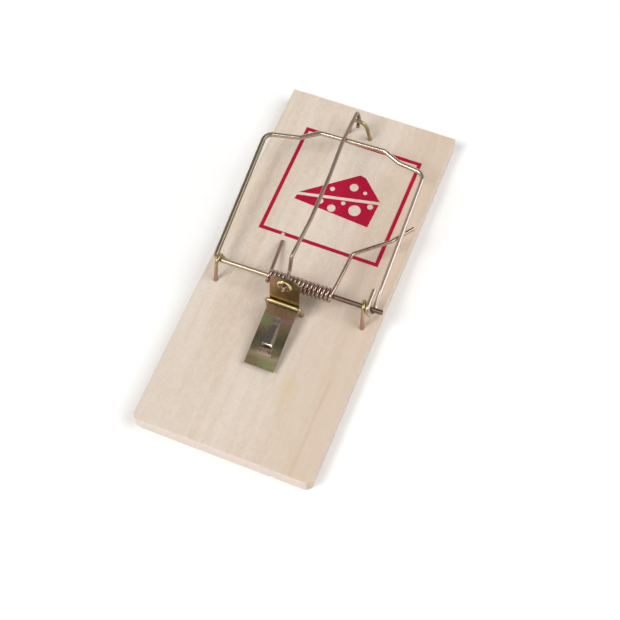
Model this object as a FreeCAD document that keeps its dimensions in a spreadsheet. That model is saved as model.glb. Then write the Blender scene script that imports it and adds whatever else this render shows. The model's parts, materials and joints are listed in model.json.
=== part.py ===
"""Snap mouse trap, shown set: a wooden board with a wire bail held back by a locking bar.

Frame: origin at the centre of the board's underside, +X to the right, +Y towards the end with
the bar staple, +Z up. Millimetres and degrees.
"""
import FreeCAD, Part
import math
import os

import Sketcher
from FreeCAD import Placement, Rotation, Vector

X_AXIS = Vector(1, 0, 0)
Y_AXIS = Vector(0, 1, 0)
Z_AXIS = Vector(0, 0, 1)

# alias, value, what it is
DIMENSIONS = [
    ("board_length", 100.0, "board, front to back"),
    ("board_width", 45.0, "board, side to side"),
    ("board_thick", 5.0, "board thickness"),
    ("board_corner", 1.8, "radius of the two front corners in plan"),
    ("board_edge", 0.3, "chamfer round the top face"),
    ("leg_depth", 3.6, "how far each staple leg goes into the board"),
    ("leg_fit", 0.02, "radial room round a staple leg in its hole"),
    ("staple_wire", 0.95, "wire diameter of all staples"),
    ("axle_staple_radius", 2.9, "crown radius of the two axle staples"),
    ("axle_staple_crown", 11.25, "height of their crown's centre line"),
    ("left_staple_x", -18.2, "left axle staple"),
    ("left_staple_y", -7.2, "left axle staple, middle of its legs"),
    ("right_staple_x", 18.45, "right axle staple"),
    ("right_staple_y", -6.4, "right axle staple, middle of its legs"),
    ("bar_staple_radius", 2.8, "crown radius of the bar staple"),
    ("bar_staple_crown", 11.26, "height of its crown's centre line"),
    ("bar_staple_x", -0.92, "bar staple, middle of its legs"),
    ("bar_staple_y", 42.0, "bar staple"),
    ("pedal_staple_half", 4.4, "half the leg spacing of the pedal staple"),
    ("pedal_staple_bend", 1.1, "bend radius at the ends of its crown"),
    ("hinge_x", 0.55, "middle of the pedal"),
    ("hinge_y", -12.3, "pedal hinge: centre of the pedal staple's crown"),
    ("hinge_z", 9.9, "height of the pedal hinge"),
    ("sheet_thick", 0.4, "pedal sheet"),
    ("sheet_width", 7.5, "pedal width"),
    ("sheet_fit", 0.06, "room between the pedal's bend and the hinge wire"),
    ("plate_slope", 10.5, "fall of the bait plate towards the front"),
    ("plate_length", 16.1, "bait plate, from the hinge"),
    ("tab_lean", 8.0, "backward lean of the catch tab"),
    ("tab_length", 9.7, "catch tab, from the hinge"),
    ("tab_corner", 2.2, "radius of the tab's top corners"),
    ("catch_height", 6.9, "catch hole, from the hinge"),
    ("catch_bore", 2.6, "catch hole diameter"),
    ("catch_rim", 3.7, "outer diameter of its raised rim"),
    ("rim_height", 0.45, "how far the rim stands off the tab"),
    ("slot_start", 3.6, "tongue slot, near end from the hinge"),
    ("slot_end", 12.4, "tongue slot, far end from the hinge"),
    ("slot_near", 1.7, "slot width at its near end"),
    ("slot_far", 3.4, "slot width at its far end"),
    ("tongue_near", 1.2, "tongue width at its root"),
    ("tongue_far", 2.7, "tongue width at its free end"),
    ("tongue_length", 7.4, "tongue length"),
    ("tongue_rise", 8.0, "angle of the tongue above the plate"),
    ("lip_length", 1.1, "lip bent down at the tongue's end"),
    ("lip_angle", 62.0, "angle of the lip below the plate"),
    ("prong_width", 1.9, "bait prong width"),
    ("prong_length", 1.7, "bait prong length"),
    ("prong_angle", 48.0, "angle of the prong above the plate"),
    ("axle_y", -6.3, "bail axle, at the middle of the board"),
    ("axle_z", 10.0, "height of the bail axle"),
    ("axle_yaw", 1.0, "angle of the axle to the board's width"),
    ("bail_lift", 5.4, "angle of the bail above the board when set"),
    ("bail_wire", 1.2, "bail wire diameter"),
    ("axle_free_end", 23.4, "free end of the axle, right of the middle"),
    ("axle_bend", 1.0, "bend radius where the axle becomes the left arm"),
    ("left_arm_x", -19.8, "left arm at the axle"),
    ("left_corner_x", -20.65, "left far corner"),
    ("left_corner_r", 35.8, "left far corner, from the axle"),
    ("left_jog_x", -12.0, "outer end of the left jog"),
    ("left_jog_r", 37.5, "outer end of the left jog, from the axle"),
    ("left_crown_x", -7.6, "inner end of the left jog"),
    ("left_crown_r", 40.35, "inner end of the left jog, from the axle"),
    ("right_crown_x", 9.3, "inner end of the right jog"),
    ("right_crown_r", 40.7, "inner end of the right jog, from the axle"),
    ("right_jog_x", 13.8, "outer end of the right jog"),
    ("right_jog_r", 38.7, "outer end of the right jog, from the axle"),
    ("right_corner_x", 20.7, "right far corner"),
    ("right_corner_r", 37.85, "right far corner, from the axle"),
    ("right_arm_x", 21.0, "right arm at the axle"),
    ("corner_radius", 2.3, "bend radius of the far corners"),
    ("jog_radius", 1.8, "bend radius of the jogs"),
    ("hook_shift", 1.3, "sideways step of the hook round the axle"),
    ("hook_fit", 0.08, "room between the hook and the axle"),
    ("hook_stub", 4.5, "length of the hook's free end"),
    ("spring_wire", 0.95, "torsion spring wire diameter"),
    ("coil_radius", 1.375, "coil centre line radius"),
    ("coil_start", -5.8, "left end of the coil's centre line"),
    ("coil_turns", 15.5, "turns in the coil"),
    ("coil_pitch", 1.05, "coil pitch"),
    ("bar_wire", 0.95, "locking bar wire diameter"),
    ("eye_z", 11.2, "height of the bar's hinge in the bar staple"),
]

doc = FreeCAD.newDocument("snap_mouse_trap")
sheet = doc.addObject("Spreadsheet::Sheet", "Dimensions")
for row, (alias, value, meaning) in enumerate(DIMENSIONS, start=1):
    sheet.set(f"A{row}", meaning)
    sheet.set(f"B{row}", str(value))
    sheet.setAlias(f"B{row}", alias)
doc.recompute()


def size(alias):
    """The plain number behind an alias of the sheet."""
    return float(sheet.get(alias))


def cell(expression):
    """Turn bare aliases in an expression into references to the sheet."""
    words = expression.split()
    return " ".join(f"Dimensions.{w}" if w[0].isalpha() else w for w in words)


# ---- helpers for bodies and sketches ------------------------------------------------------


def new_body(label):
    body = doc.addObject("PartDesign::Body", label)
    body.Label = label
    return body


def new_sketch(body, role, name, offset=None):
    """A sketch on one of the body's own origin planes, moved or turned by offset."""
    sketch = body.newObject("Sketcher::SketchObject", name)
    plane = next(f for f in body.Origin.OriginFeatures if f.Role == role)
    sketch.AttachmentSupport = (plane, [""])
    sketch.MapMode = "FlatFace"
    if offset is not None:
        sketch.AttachmentOffset = offset
    return sketch


def bind(sketch, expression, *constraint):
    """Add a dimension and drive it from the sheet."""
    index = sketch.addConstraint(Sketcher.Constraint(*constraint))
    sketch.setExpression(f"Constraints[{index}]", cell(expression))


def tie(sketch, *constraint):
    sketch.addConstraint(Sketcher.Constraint(*constraint))


def add_loop(sketch, points):
    """Closed outline of straight lines, its corners joined."""
    count = len(points)
    corners = [Vector(x, y, 0) for x, y in points]
    ids = []
    for i in range(count):
        line = Part.LineSegment(corners[i], corners[(i + 1) % count])
        ids.append(sketch.addGeometry(line))
    for i in range(count):
        tie(sketch, "Coincident", ids[i], 2, ids[(i + 1) % count], 1)
    return ids


def add_disc(sketch, diameter, x=None, y=None):
    """Circle of a driven diameter; x and y are expressions, or None for zero."""
    at = [size_of(x), size_of(y)]
    circle = Part.Circle(Vector(at[0], at[1], 0), Z_AXIS, size_of(diameter) / 2)
    index = sketch.addGeometry(circle)
    bind(sketch, diameter, "Diameter", index, size_of(diameter))
    for axis, expression, datum in (("DistanceX", x, at[0]), ("DistanceY", y, at[1])):
        if expression is None:
            tie(sketch, "PointOnObject", index, 3, -2 if axis == "DistanceX" else -1)
        else:
            bind(sketch, expression, axis, -1, 1, index, 3, datum)
    return index


def size_of(expression):
    """Value of a small expression of aliases, for a sketch's starting geometry."""
    if expression is None:
        return 0.0
    total, sign = 0.0, 1.0
    for word in expression.split():
        if word in "+-":
            sign = -1.0 if word == "-" else 1.0
        else:
            total += sign * (size(word) if word[0].isalpha() else float(word))
            sign = 1.0
    return total


def feature(body, kind, name, profile, **settings):
    item = body.newObject(f"PartDesign::{kind}", name)
    item.Profile = profile
    for key, value in settings.items():
        setattr(item, key, value)
    return item


def drive(item, **expressions):
    for key, expression in expressions.items():
        item.setExpression(key.replace("__", "."), cell(expression))


def place(item, x, y, z, rotation=None):
    """Put a sub-part at a point given as expressions, then turn it."""
    item.Placement = Placement(Vector(0, 0, 0), rotation or Rotation())
    for axis, expression in (("x", x), ("y", y), ("z", z)):
        item.setExpression(f"Placement.Base.{axis}", cell(expression))


# ---- helpers for bent wire -----------------------------------------------------------------


def rounded_path(points):
    """Straight runs through (x, y, z, bend radius), joined by tangent arcs."""
    edges = []
    start = Vector(*points[0][:3])
    for before, corner, after in zip(points, points[1:], points[2:]):
        middle = Vector(*corner[:3])
        back = (Vector(*before[:3]) - middle).normalize()
        ahead = (Vector(*after[:3]) - middle).normalize()
        half = back.getAngle(ahead) / 2
        first = middle + back * (corner[3] / math.tan(half))
        last = middle + ahead * (corner[3] / math.tan(half))
        inward = (back + ahead).normalize()
        apex = middle + inward * (corner[3] / math.sin(half) - corner[3])
        edges.append(Part.LineSegment(start, first).toShape())
        edges.append(Part.Arc(first, apex, last).toShape())
        start = last
    edges.append(Part.LineSegment(start, Vector(*points[-1][:3])).toShape())
    return edges


def wire_sweep(label, edges, diameter):
    """Round wire along tangent edges: a driven circle swept along the path."""
    path = doc.addObject("Part::Feature", f"{label}_path")
    path.Shape = Part.Wire(edges)
    start = edges[0].valueAt(edges[0].FirstParameter)
    along = edges[0].tangentAt(edges[0].FirstParameter)
    section = doc.addObject("Part::Circle", f"{label}_section")
    section.Placement = Placement(start, Rotation(Z_AXIS, along))
    section.setExpression("Radius", cell(f"{diameter} / 2"))
    sweep = doc.addObject("Part::Sweep", label)
    sweep.Label = label
    sweep.Sections = [section]
    sweep.Spine = (path, [f"Edge{i + 1}" for i in range(len(edges))])
    sweep.Solid = True
    sweep.Frenet = False
    return sweep


# ---- board ---------------------------------------------------------------------------------


def make_board():
    body = new_body("base_board")
    outline = new_sketch(body, "XY_Plane", "board_outline")
    half_x, half_y = size("board_width") / 2, size("board_length") / 2
    ids = add_loop(outline, [(-half_x, -half_y), (half_x, -half_y), (half_x, half_y), (-half_x, half_y)])
    for line, direction in zip(ids, ("Horizontal", "Vertical", "Horizontal", "Vertical")):
        tie(outline, direction, line)
    tie(outline, "Symmetric", ids[0], 1, ids[2], 1, -1, 1)
    bind(outline, "board_width", "DistanceX", ids[0], 1, ids[0], 2, 2 * half_x)
    bind(outline, "board_length", "DistanceY", ids[1], 1, ids[1], 2, 2 * half_y)
    slab = feature(body, "Pad", "board_slab", outline)
    drive(slab, Length="board_thick")
    doc.recompute()

    front = [
        f"Edge{i + 1}"
        for i, edge in enumerate(slab.Shape.Edges)
        if abs(edge.CenterOfMass.y + half_y) < 0.01 and edge.BoundBox.ZLength > 1
    ]
    corners = body.newObject("PartDesign::Fillet", "board_corners")
    corners.Base = (slab, front)
    drive(corners, Radius="board_corner")
    doc.recompute()

    top = [
        f"Edge{i + 1}"
        for i, edge in enumerate(corners.Shape.Edges)
        if edge.BoundBox.ZMin > size("board_thick") - 0.01
    ]
    eased = body.newObject("PartDesign::Chamfer", "board_eased_edge")
    eased.Base = (corners, top)
    drive(eased, Size="board_edge")
    doc.recompute()

    holes = new_sketch(body, "XY_Plane", "leg_holes")
    drive(holes, AttachmentOffset__Base__z="board_thick")
    bore = "staple_wire + leg_fit + leg_fit"
    for side in ("left", "right"):
        for sign in "+-":
            leg_y = f"{side}_staple_y {sign} axle_staple_radius"
            add_disc(holes, bore, f"{side}_staple_x", leg_y)
    for sign in "+-":
        add_disc(holes, bore, f"bar_staple_x {sign} bar_staple_radius", "bar_staple_y")
        add_disc(holes, bore, f"hinge_x {sign} pedal_staple_half", "hinge_y")
    drilled = feature(body, "Pocket", "leg_bores", holes)
    drive(drilled, Length="leg_depth + 0.1")
    doc.recompute()
    if drilled.Shape.Volume >= eased.Shape.Volume:
        raise RuntimeError("the leg bores cut nothing")
    body.Placement = Placement()
    return body


# ---- staples -------------------------------------------------------------------------------


def staple_pipe(body, path, edges, half):
    """Sweep the staple wire along its path from the foot of the leg at -half."""
    foot = new_sketch(body, "XY_Plane", f"{body.Label}_section")
    drive(foot, AttachmentOffset__Base__z="-1 * leg_depth")
    add_disc(foot, "staple_wire", f"- {half}")
    doc.recompute()
    pipe = feature(body, "AdditivePipe", f"{body.Label}_wire", foot)
    pipe.Spine = (path, [f"Edge{i + 1}" for i in range(edges)])
    doc.recompute()


def arched_staple(label, radius, crown, x, y, turned):
    """Two straight legs joined by a half-circle crown, its foot level with the board's top."""
    body = new_body(label)
    path = new_sketch(body, "XZ_Plane", f"{label}_path")
    bend, rise = size(radius), size_of(f"{crown} - {radius} - board_thick")
    low = -size("leg_depth")
    left = path.addGeometry(Part.LineSegment(Vector(-bend, low, 0), Vector(-bend, rise, 0)))
    circle = Part.Circle(Vector(0, rise, 0), Z_AXIS, bend)
    arch = path.addGeometry(Part.ArcOfCircle(circle, 0, math.pi))
    right = path.addGeometry(Part.LineSegment(Vector(bend, rise, 0), Vector(bend, low, 0)))
    tie(path, "Tangent", left, 2, arch, 2)
    tie(path, "Tangent", arch, 1, right, 1)
    tie(path, "Vertical", left)
    tie(path, "Vertical", right)
    tie(path, "PointOnObject", arch, 3, -2)
    bind(path, radius, "Radius", arch, bend)
    bind(path, f"{crown} - {radius} - board_thick", "DistanceY", -1, 1, arch, 3, rise)
    bind(path, "leg_depth", "DistanceY", left, 1, -1, 1, -low)
    bind(path, "leg_depth", "DistanceY", right, 2, -1, 1, -low)
    doc.recompute()
    staple_pipe(body, path, 3, radius)
    place(body, x, y, "board_thick", Rotation(Z_AXIS, 90 if turned else 0))
    return body


def flat_staple(label):
    """Two straight legs joined by a straight crown, the pedal's hinge wire."""
    body = new_body(label)
    path = new_sketch(body, "XZ_Plane", f"{label}_path")
    half, bend = size("pedal_staple_half"), size("pedal_staple_bend")
    rise, low = size_of("hinge_z - board_thick"), -size("leg_depth")
    corners = []
    left = path.addGeometry(Part.LineSegment(Vector(-half, low, 0), Vector(-half, rise - bend, 0)))
    for side, first in ((-1, math.pi / 2), (1, 0)):
        circle = Part.Circle(Vector(side * (half - bend), rise - bend, 0), Z_AXIS, bend)
        corners.append(path.addGeometry(Part.ArcOfCircle(circle, first, first + math.pi / 2)))
        if side < 0:
            flat = Part.LineSegment(Vector(bend - half, rise, 0), Vector(half - bend, rise, 0))
            crown = path.addGeometry(flat)
    right = path.addGeometry(Part.LineSegment(Vector(half, rise - bend, 0), Vector(half, low, 0)))
    tie(path, "Tangent", left, 2, corners[0], 2)
    tie(path, "Tangent", corners[0], 1, crown, 1)
    tie(path, "Tangent", crown, 2, corners[1], 2)
    tie(path, "Tangent", corners[1], 1, right, 1)
    tie(path, "Vertical", left)
    tie(path, "Vertical", right)
    tie(path, "Horizontal", crown)
    tie(path, "Symmetric", left, 1, right, 2, -2)
    bind(path, "pedal_staple_bend", "Radius", corners[0], bend)
    bind(path, "pedal_staple_bend", "Radius", corners[1], bend)
    bind(path, "2 * pedal_staple_half", "DistanceX", left, 1, right, 2, 2 * half)
    bind(path, "hinge_z - board_thick", "DistanceY", -1, 1, crown, 1, rise)
    bind(path, "leg_depth", "DistanceY", left, 1, -1, 1, -low)
    doc.recompute()
    staple_pipe(body, path, 5, "pedal_staple_half")
    place(body, "hinge_x", "hinge_y", "board_thick")
    return body


# ---- pedal ---------------------------------------------------------------------------------


def plate_point(along, below):
    """Point of the bait plate in the hinge's Y-Z plane: along the plate, below the hinge."""
    slope = math.radians(size("plate_slope"))
    return Vector(
        0,
        -along * math.cos(slope) + below * math.sin(slope),
        -along * math.sin(slope) - below * math.cos(slope),
    )


def tab_point(along, behind):
    """Point of the catch tab: up along the tab, behind the hinge."""
    lean = math.radians(size("tab_lean"))
    return Vector(
        0,
        along * math.sin(lean) + behind * math.cos(lean),
        along * math.cos(lean) - behind * math.sin(lean),
    )


def strip_outline(body):
    """Side view of the bent strip: plate, round bend about the hinge wire, tab."""
    inner = size("staple_wire") / 2 + size("sheet_fit")
    outer = inner + size("sheet_thick")
    plate, tab = size("plate_length"), size("tab_length")
    sketch = new_sketch(body, "YZ_Plane", "strip_outline")

    def flat(point):
        return Vector(point.y, point.z, 0)

    def line(a, b):
        return sketch.addGeometry(Part.LineSegment(flat(a), flat(b)))

    def bend(radius):
        circle = Part.Circle(Vector(0, 0, 0), Z_AXIS, radius)
        first = math.radians(size("plate_slope") - 90)
        last = -math.radians(size("tab_lean"))
        return sketch.addGeometry(Part.ArcOfCircle(circle, first, last))

    plate_top = line(plate_point(plate, inner), plate_point(0, inner))
    inner_bend = bend(inner)
    tab_front = line(tab_point(0, inner), tab_point(tab, inner))
    tab_top = line(tab_point(tab, inner), tab_point(tab, outer))
    tab_back = line(tab_point(tab, outer), tab_point(0, outer))
    outer_bend = bend(outer)
    plate_under = line(plate_point(0, outer), plate_point(plate, outer))
    plate_end = line(plate_point(plate, outer), plate_point(plate, inner))

    tie(sketch, "Tangent", plate_top, 2, inner_bend, 1)
    tie(sketch, "Tangent", inner_bend, 2, tab_front, 1)
    tie(sketch, "Coincident", tab_front, 2, tab_top, 1)
    tie(sketch, "Coincident", tab_top, 2, tab_back, 1)
    tie(sketch, "Tangent", tab_back, 2, outer_bend, 2)
    tie(sketch, "Tangent", outer_bend, 1, plate_under, 1)
    tie(sketch, "Coincident", plate_under, 2, plate_end, 1)
    tie(sketch, "Coincident", plate_end, 2, plate_top, 1)
    tie(sketch, "Coincident", inner_bend, 3, -1, 1)
    tie(sketch, "Coincident", outer_bend, 3, -1, 1)
    tie(sketch, "Perpendicular", tab_front, tab_top)
    tie(sketch, "Perpendicular", plate_under, plate_end)
    bind(sketch, "staple_wire / 2 + sheet_fit", "Radius", inner_bend, inner)
    bind(sketch, "staple_wire / 2 + sheet_fit + sheet_thick", "Radius", outer_bend, outer)
    bind(sketch, "plate_length", "Distance", plate_top, plate)
    bind(sketch, "tab_length", "Distance", tab_front, tab)
    slope, upright = math.radians(size("plate_slope")), math.radians(90 - size("tab_lean"))
    bind(sketch, "plate_slope * 1deg", "Angle", -1, 1, plate_top, 1, slope)
    bind(sketch, "( 90 - tab_lean ) * 1deg", "Angle", -1, 1, tab_front, 1, upright)
    return sketch


def make_pedal():
    body = new_body("bait_pedal")
    strip = feature(body, "Pad", "strip", strip_outline(body), Midplane=True)
    drive(strip, Length="sheet_width")
    doc.recompute()

    half = size("sheet_width") / 2
    inner = size("staple_wire") / 2 + size("sheet_fit")
    thick = size("sheet_thick")
    top_middle = tab_point(size("tab_length"), inner + thick / 2)
    rounded = [
        f"Edge{i + 1}"
        for i, edge in enumerate(strip.Shape.Edges)
        if abs(abs(edge.CenterOfMass.x) - half) < 0.01
        and abs(edge.CenterOfMass.y - top_middle.y) < 0.05
        and abs(edge.CenterOfMass.z - top_middle.z) < 0.05
    ]
    corners = body.newObject("PartDesign::Fillet", "tab_corners")
    corners.Base = (strip, rounded)
    drive(corners, Radius="tab_corner")
    doc.recompute()

    on_tab = Rotation(X_AXIS, -size("tab_lean"))
    tab_face = on_tab.multVec(Vector(0, 0, -inner))
    rim_sketch = new_sketch(body, "XZ_Plane", "catch_rim", Placement(tab_face, on_tab))
    add_disc(rim_sketch, "catch_rim", None, "catch_height")
    rim = feature(body, "Pad", "raised_rim", rim_sketch)
    drive(rim, Length="rim_height")
    doc.recompute()

    bore_sketch = new_sketch(body, "XZ_Plane", "catch_hole", Placement(Vector(), on_tab))
    add_disc(bore_sketch, "catch_bore", None, "catch_height")
    bore = feature(body, "Pocket", "catch_bore_cut", bore_sketch, Type="ThroughAll", Midplane=True)
    doc.recompute()
    check_cut(bore, rim)

    on_plate = Rotation(X_AXIS, size("plate_slope"))
    slot_sketch = new_sketch(body, "XY_Plane", "tongue_slot", Placement(Vector(), on_plate))
    add_taper(slot_sketch, "slot_near", "slot_far", "slot_start", "slot_end")
    slot = feature(body, "Pocket", "slot_cut", slot_sketch, Type="ThroughAll", Midplane=True)
    doc.recompute()
    check_cut(slot, bore)

    middle = inner + thick / 2
    root = size("slot_start") - 0.3
    rise = size("plate_slope") - size("tongue_rise")
    tongue = sheet_leaf(body, "tongue", plate_point(root, middle), rise,
                        "tongue_near", "tongue_far", "tongue_length")
    reach = size("tongue_length") - 0.15
    angle = math.radians(rise)
    tip = plate_point(root, middle) + Vector(0, -reach * math.cos(angle), -reach * math.sin(angle))
    sheet_leaf(body, "tongue_lip", tip, size("plate_slope") + size("lip_angle"),
               "tongue_far", "tongue_far", "lip_length")
    foot = plate_point(size("slot_end") + 0.25, middle)
    sheet_leaf(body, "bait_prong", foot, 180 + size("plate_slope") - size("prong_angle"),
               "prong_width", "prong_width", "prong_length")
    place(body, "hinge_x", "hinge_y", "hinge_z")
    return body


def add_taper(sketch, near, far, start, end):
    """Trapezoid that widens from start to end along the sketch's -Y."""
    x0, x1 = size(near) / 2, size(far) / 2
    y0, y1 = -size_of(start), -size_of(end)
    ids = add_loop(sketch, [(-x0, y0), (x0, y0), (x1, y1), (-x1, y1)])
    tie(sketch, "Symmetric", ids[0], 1, ids[0], 2, -2)
    tie(sketch, "Symmetric", ids[2], 1, ids[2], 2, -2)
    bind(sketch, near, "DistanceX", ids[0], 1, ids[0], 2, 2 * x0)
    bind(sketch, far, "DistanceX", ids[2], 2, ids[2], 1, 2 * x1)
    if y0:
        bind(sketch, start, "DistanceY", ids[0], 1, -1, 1, -y0)
    else:
        tie(sketch, "PointOnObject", ids[0], 1, -1)
    bind(sketch, end, "DistanceY", ids[2], 1, -1, 1, -y1)


def sheet_leaf(body, name, root, fall, near, far, length):
    """Flat leaf of the pedal's sheet that leaves root and falls at an angle to the front."""
    offset = Placement(root, Rotation(X_AXIS, fall))
    sketch = new_sketch(body, "XY_Plane", f"{name}_outline", offset)
    add_taper(sketch, near, far, "0", length)
    leaf = feature(body, "Pad", name, sketch, Midplane=True)
    drive(leaf, Length="sheet_thick")
    doc.recompute()
    return leaf


def check_cut(cut, before):
    if cut.Shape.Volume >= before.Shape.Volume:
        raise RuntimeError(f"{cut.Label} cuts nothing")


# ---- bail, spring and locking bar ----------------------------------------------------------


def make_bail():
    """One wire: axle, left arm, stepped crossbar, right arm, and a hook round the axle."""
    reach = size("bail_wire") + size("hook_fit")
    arm, shift = size("right_arm_x"), size("hook_shift")
    corner, jog = size("corner_radius"), size("jog_radius")
    bends = [
        (size("axle_free_end"), 0, 0, 0),
        (size("left_arm_x"), 0, 0, size("axle_bend")),
        (size("left_corner_x"), size("left_corner_r"), 0, corner),
        (size("left_jog_x"), size("left_jog_r"), 0, jog),
        (size("left_crown_x"), size("left_crown_r"), 0, jog),
        (size("right_crown_x"), size("right_crown_r"), 0, jog),
        (size("right_jog_x"), size("right_jog_r"), 0, jog),
        (size("right_corner_x"), size("right_corner_r"), 0, corner),
        (arm, 4 * reach, 0, 3 * reach),
        (arm, reach, -reach, reach),
        (arm, 0, -reach, 0),
    ]
    under = Vector(arm, 0, -reach)
    over = Vector(arm - shift, 0, reach)
    bulge = Vector(arm - shift / 2, -math.hypot(shift / 2, reach), 0)
    stub = Part.LineSegment(over, over + Vector(0, size("hook_stub"), 0))
    edges = rounded_path(bends) + [Part.Arc(under, bulge, over).toShape(), stub.toShape()]
    bail = wire_sweep("bail", edges, "bail_wire")
    turn = Rotation(Z_AXIS, size("axle_yaw")) * Rotation(X_AXIS, size("bail_lift"))
    bail.Placement = Placement(Vector(0, size("axle_y"), size("axle_z")), turn)
    return bail


def make_spring():
    """Left-handed coil round the axle, one leg on the board and one under the right arm."""
    radius, pitch = size("coil_radius"), size("coil_pitch")
    helix = doc.addObject("Part::Helix", "coil_line")
    helix.LocalCoord = 1
    drive(helix, Pitch="coil_pitch", Height="coil_pitch * coil_turns", Radius="coil_radius")
    helix.Placement = Placement(Vector(size("coil_start"), 0, 0), Rotation(Y_AXIS, 90))
    doc.recompute()

    creep = pitch / (2 * math.pi * radius)
    left = (size("coil_start"), 0, -radius, 0)
    right = (size("coil_start") + pitch * size("coil_turns"), 0, radius, 0)
    board_leg = rounded_path([
        (-8.05, 13.4, -4.5, 0),
        (left[0] - 1.5 * creep, 1.5, -radius, 4.0),
        left,
    ])
    arm_leg = rounded_path([
        right,
        (right[0] + 1.5 * creep, 1.5, radius, 6.0),
        (11.3, 11.9, 0.95, 1.6),
        (18.95, 18.4, 0.85, 2.5),
        (22.7, 23.4, 0.95, 0),
    ])
    spring = wire_sweep("torsion_spring", board_leg + helix.Shape.Edges + arm_leg, "spring_wire")
    turn = Rotation(Z_AXIS, size("axle_yaw"))
    spring.Placement = Placement(Vector(0, size("axle_y"), size("axle_z")), turn)
    return spring


def make_locking_bar():
    """Bowed bar over the crossbar, stepped tip behind the catch tab, eye round the bar staple."""
    hinge_y, hinge_z = size("bar_staple_y"), size("eye_z")
    bends = [
        (0.45, -52.1, 5.55, 0),
        (0.15, -48.7, 5.25, 0.9),
        (0.0, -46.7, 9.15, 1.2),
        (-1.1, -25.5, 7.95, 40.0),
        (-2.0, -9.5, 4.35, 30.0),
        (-2.55, 2.0, 1.15, 1.0),
        (-1.7, 1.6, -1.25, 0.9),
        (-0.95, -0.9, -1.5, 0.6),
        (-1.75, -1.5, -0.2, 0),
    ]
    bar = wire_sweep("locking_bar", rounded_path(bends), "bar_wire")
    bar.Placement = Placement(Vector(0, hinge_y, hinge_z), Rotation())
    return bar


SUBPARTS = [
    make_board(),
    arched_staple("left_axle_staple", "axle_staple_radius", "axle_staple_crown",
                  "left_staple_x", "left_staple_y", True),
    arched_staple("right_axle_staple", "axle_staple_radius", "axle_staple_crown",
                  "right_staple_x", "right_staple_y", True),
    arched_staple("bar_staple", "bar_staple_radius", "bar_staple_crown",
                  "bar_staple_x", "bar_staple_y", False),
    flat_staple("pedal_staple"),
    make_pedal(),
    make_bail(),
    make_spring(),
    make_locking_bar(),
]
doc.recompute()

for item in doc.Objects:
    if {"Invalid", "Error"} & set(item.State):
        raise RuntimeError(f"{item.Label} failed: {item.State}")
for part in SUBPARTS:
    if part.Shape.isNull() or not part.Shape.isValid() or len(part.Shape.Solids) != 1:
        raise RuntimeError(f"{part.Label} is not one valid solid")

os.makedirs("parts", exist_ok=True)
for part in SUBPARTS:
    part.Shape.exportStep(f"parts/{part.Label}.step")
    box = part.Shape.BoundBox
    print(f"{part.Label}: {part.Shape.Volume:.1f} mm3, "
          f"x {box.XMin:.2f}..{box.XMax:.2f}, y {box.YMin:.2f}..{box.YMax:.2f}, "
          f"z {box.ZMin:.2f}..{box.ZMax:.2f}")
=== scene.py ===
import json
import math

import bmesh
import bpy
import numpy as np
from mathutils import Matrix, Vector


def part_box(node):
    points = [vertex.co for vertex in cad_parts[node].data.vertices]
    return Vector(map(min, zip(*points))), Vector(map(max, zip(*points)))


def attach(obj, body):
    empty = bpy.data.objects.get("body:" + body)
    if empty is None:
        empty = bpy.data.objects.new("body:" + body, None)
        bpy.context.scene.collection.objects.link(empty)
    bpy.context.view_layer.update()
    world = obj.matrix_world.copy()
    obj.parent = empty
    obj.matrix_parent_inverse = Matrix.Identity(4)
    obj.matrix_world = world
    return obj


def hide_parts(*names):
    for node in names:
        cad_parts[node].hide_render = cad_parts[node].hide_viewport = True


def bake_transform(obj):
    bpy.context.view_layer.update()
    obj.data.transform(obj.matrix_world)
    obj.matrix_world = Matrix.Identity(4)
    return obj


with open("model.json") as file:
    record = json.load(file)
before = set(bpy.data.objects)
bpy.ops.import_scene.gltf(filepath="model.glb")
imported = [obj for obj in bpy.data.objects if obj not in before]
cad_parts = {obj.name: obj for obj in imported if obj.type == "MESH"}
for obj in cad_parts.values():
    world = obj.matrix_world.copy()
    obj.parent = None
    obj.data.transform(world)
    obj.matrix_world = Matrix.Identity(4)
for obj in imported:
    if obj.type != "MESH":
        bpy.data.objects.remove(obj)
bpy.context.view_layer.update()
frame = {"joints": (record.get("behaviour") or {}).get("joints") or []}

MM = 0.001
# the frame's lengths are rounded to this many decimals of a millimetre
DECIMALS = 4

# ---- where things are, in millimetres -------------------------------------------------------

JOINTS = {joint["name"]: joint for joint in frame["joints"]}


def hinge(name):
    """The point that a joint turns about."""
    return np.round(np.array(JOINTS[name]["pos_m"]) / MM, DECIMALS)


AXLE = hinge("bail_swing")
AXLE_AXIS = JOINTS["bail_swing"]["axis"]
AXLE_YAW = math.radians(round(math.degrees(math.atan2(AXLE_AXIS[1], AXLE_AXIS[0])), DECIMALS))
BAIL_LIFT = math.radians(5.4)
# the locking bar turns about a line along X, so its points are given from x = 0 on that line
BAR_HINGE = hinge("bar_swing") * (0, 1, 1)
PEDAL_HINGE = hinge("pedal_tilt")
BOARD_HALF_X, BOARD_HALF_Y, BOARD_TOP = (
    round(side / MM, DECIMALS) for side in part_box("base_board")[1])
LEG_FOOT = round(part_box("bar_staple")[0].z / MM, DECIMALS)
BAIL_WIRE, THIN_WIRE = 1.2, 0.95

# x and y of the two legs of each staple where they enter the wood
STAPLE_SPOTS = {
    "left_axle_staple": [(-18.74, -9.8), (-18.5, -4.05)],
    "right_axle_staple": [(19.3, -9.15), (17.9, -3.05)],
    "bar_staple": [(-4.1, 42.35), (1.9, 42.0)],
    "pedal_staple": [(-3.9, -11.6), (4.6, -11.2)],
}
# the arched staples: height of the crown's centre line, and its bend radius
ARCHES = {
    "left_axle_staple": (11.25, 1.45),
    "right_axle_staple": (11.25, 1.45),
    "bar_staple": (11.26, 2.2),
}
PEDAL_STAPLE_HALF, PEDAL_STAPLE_BEND = 4.4, 0.65

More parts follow.
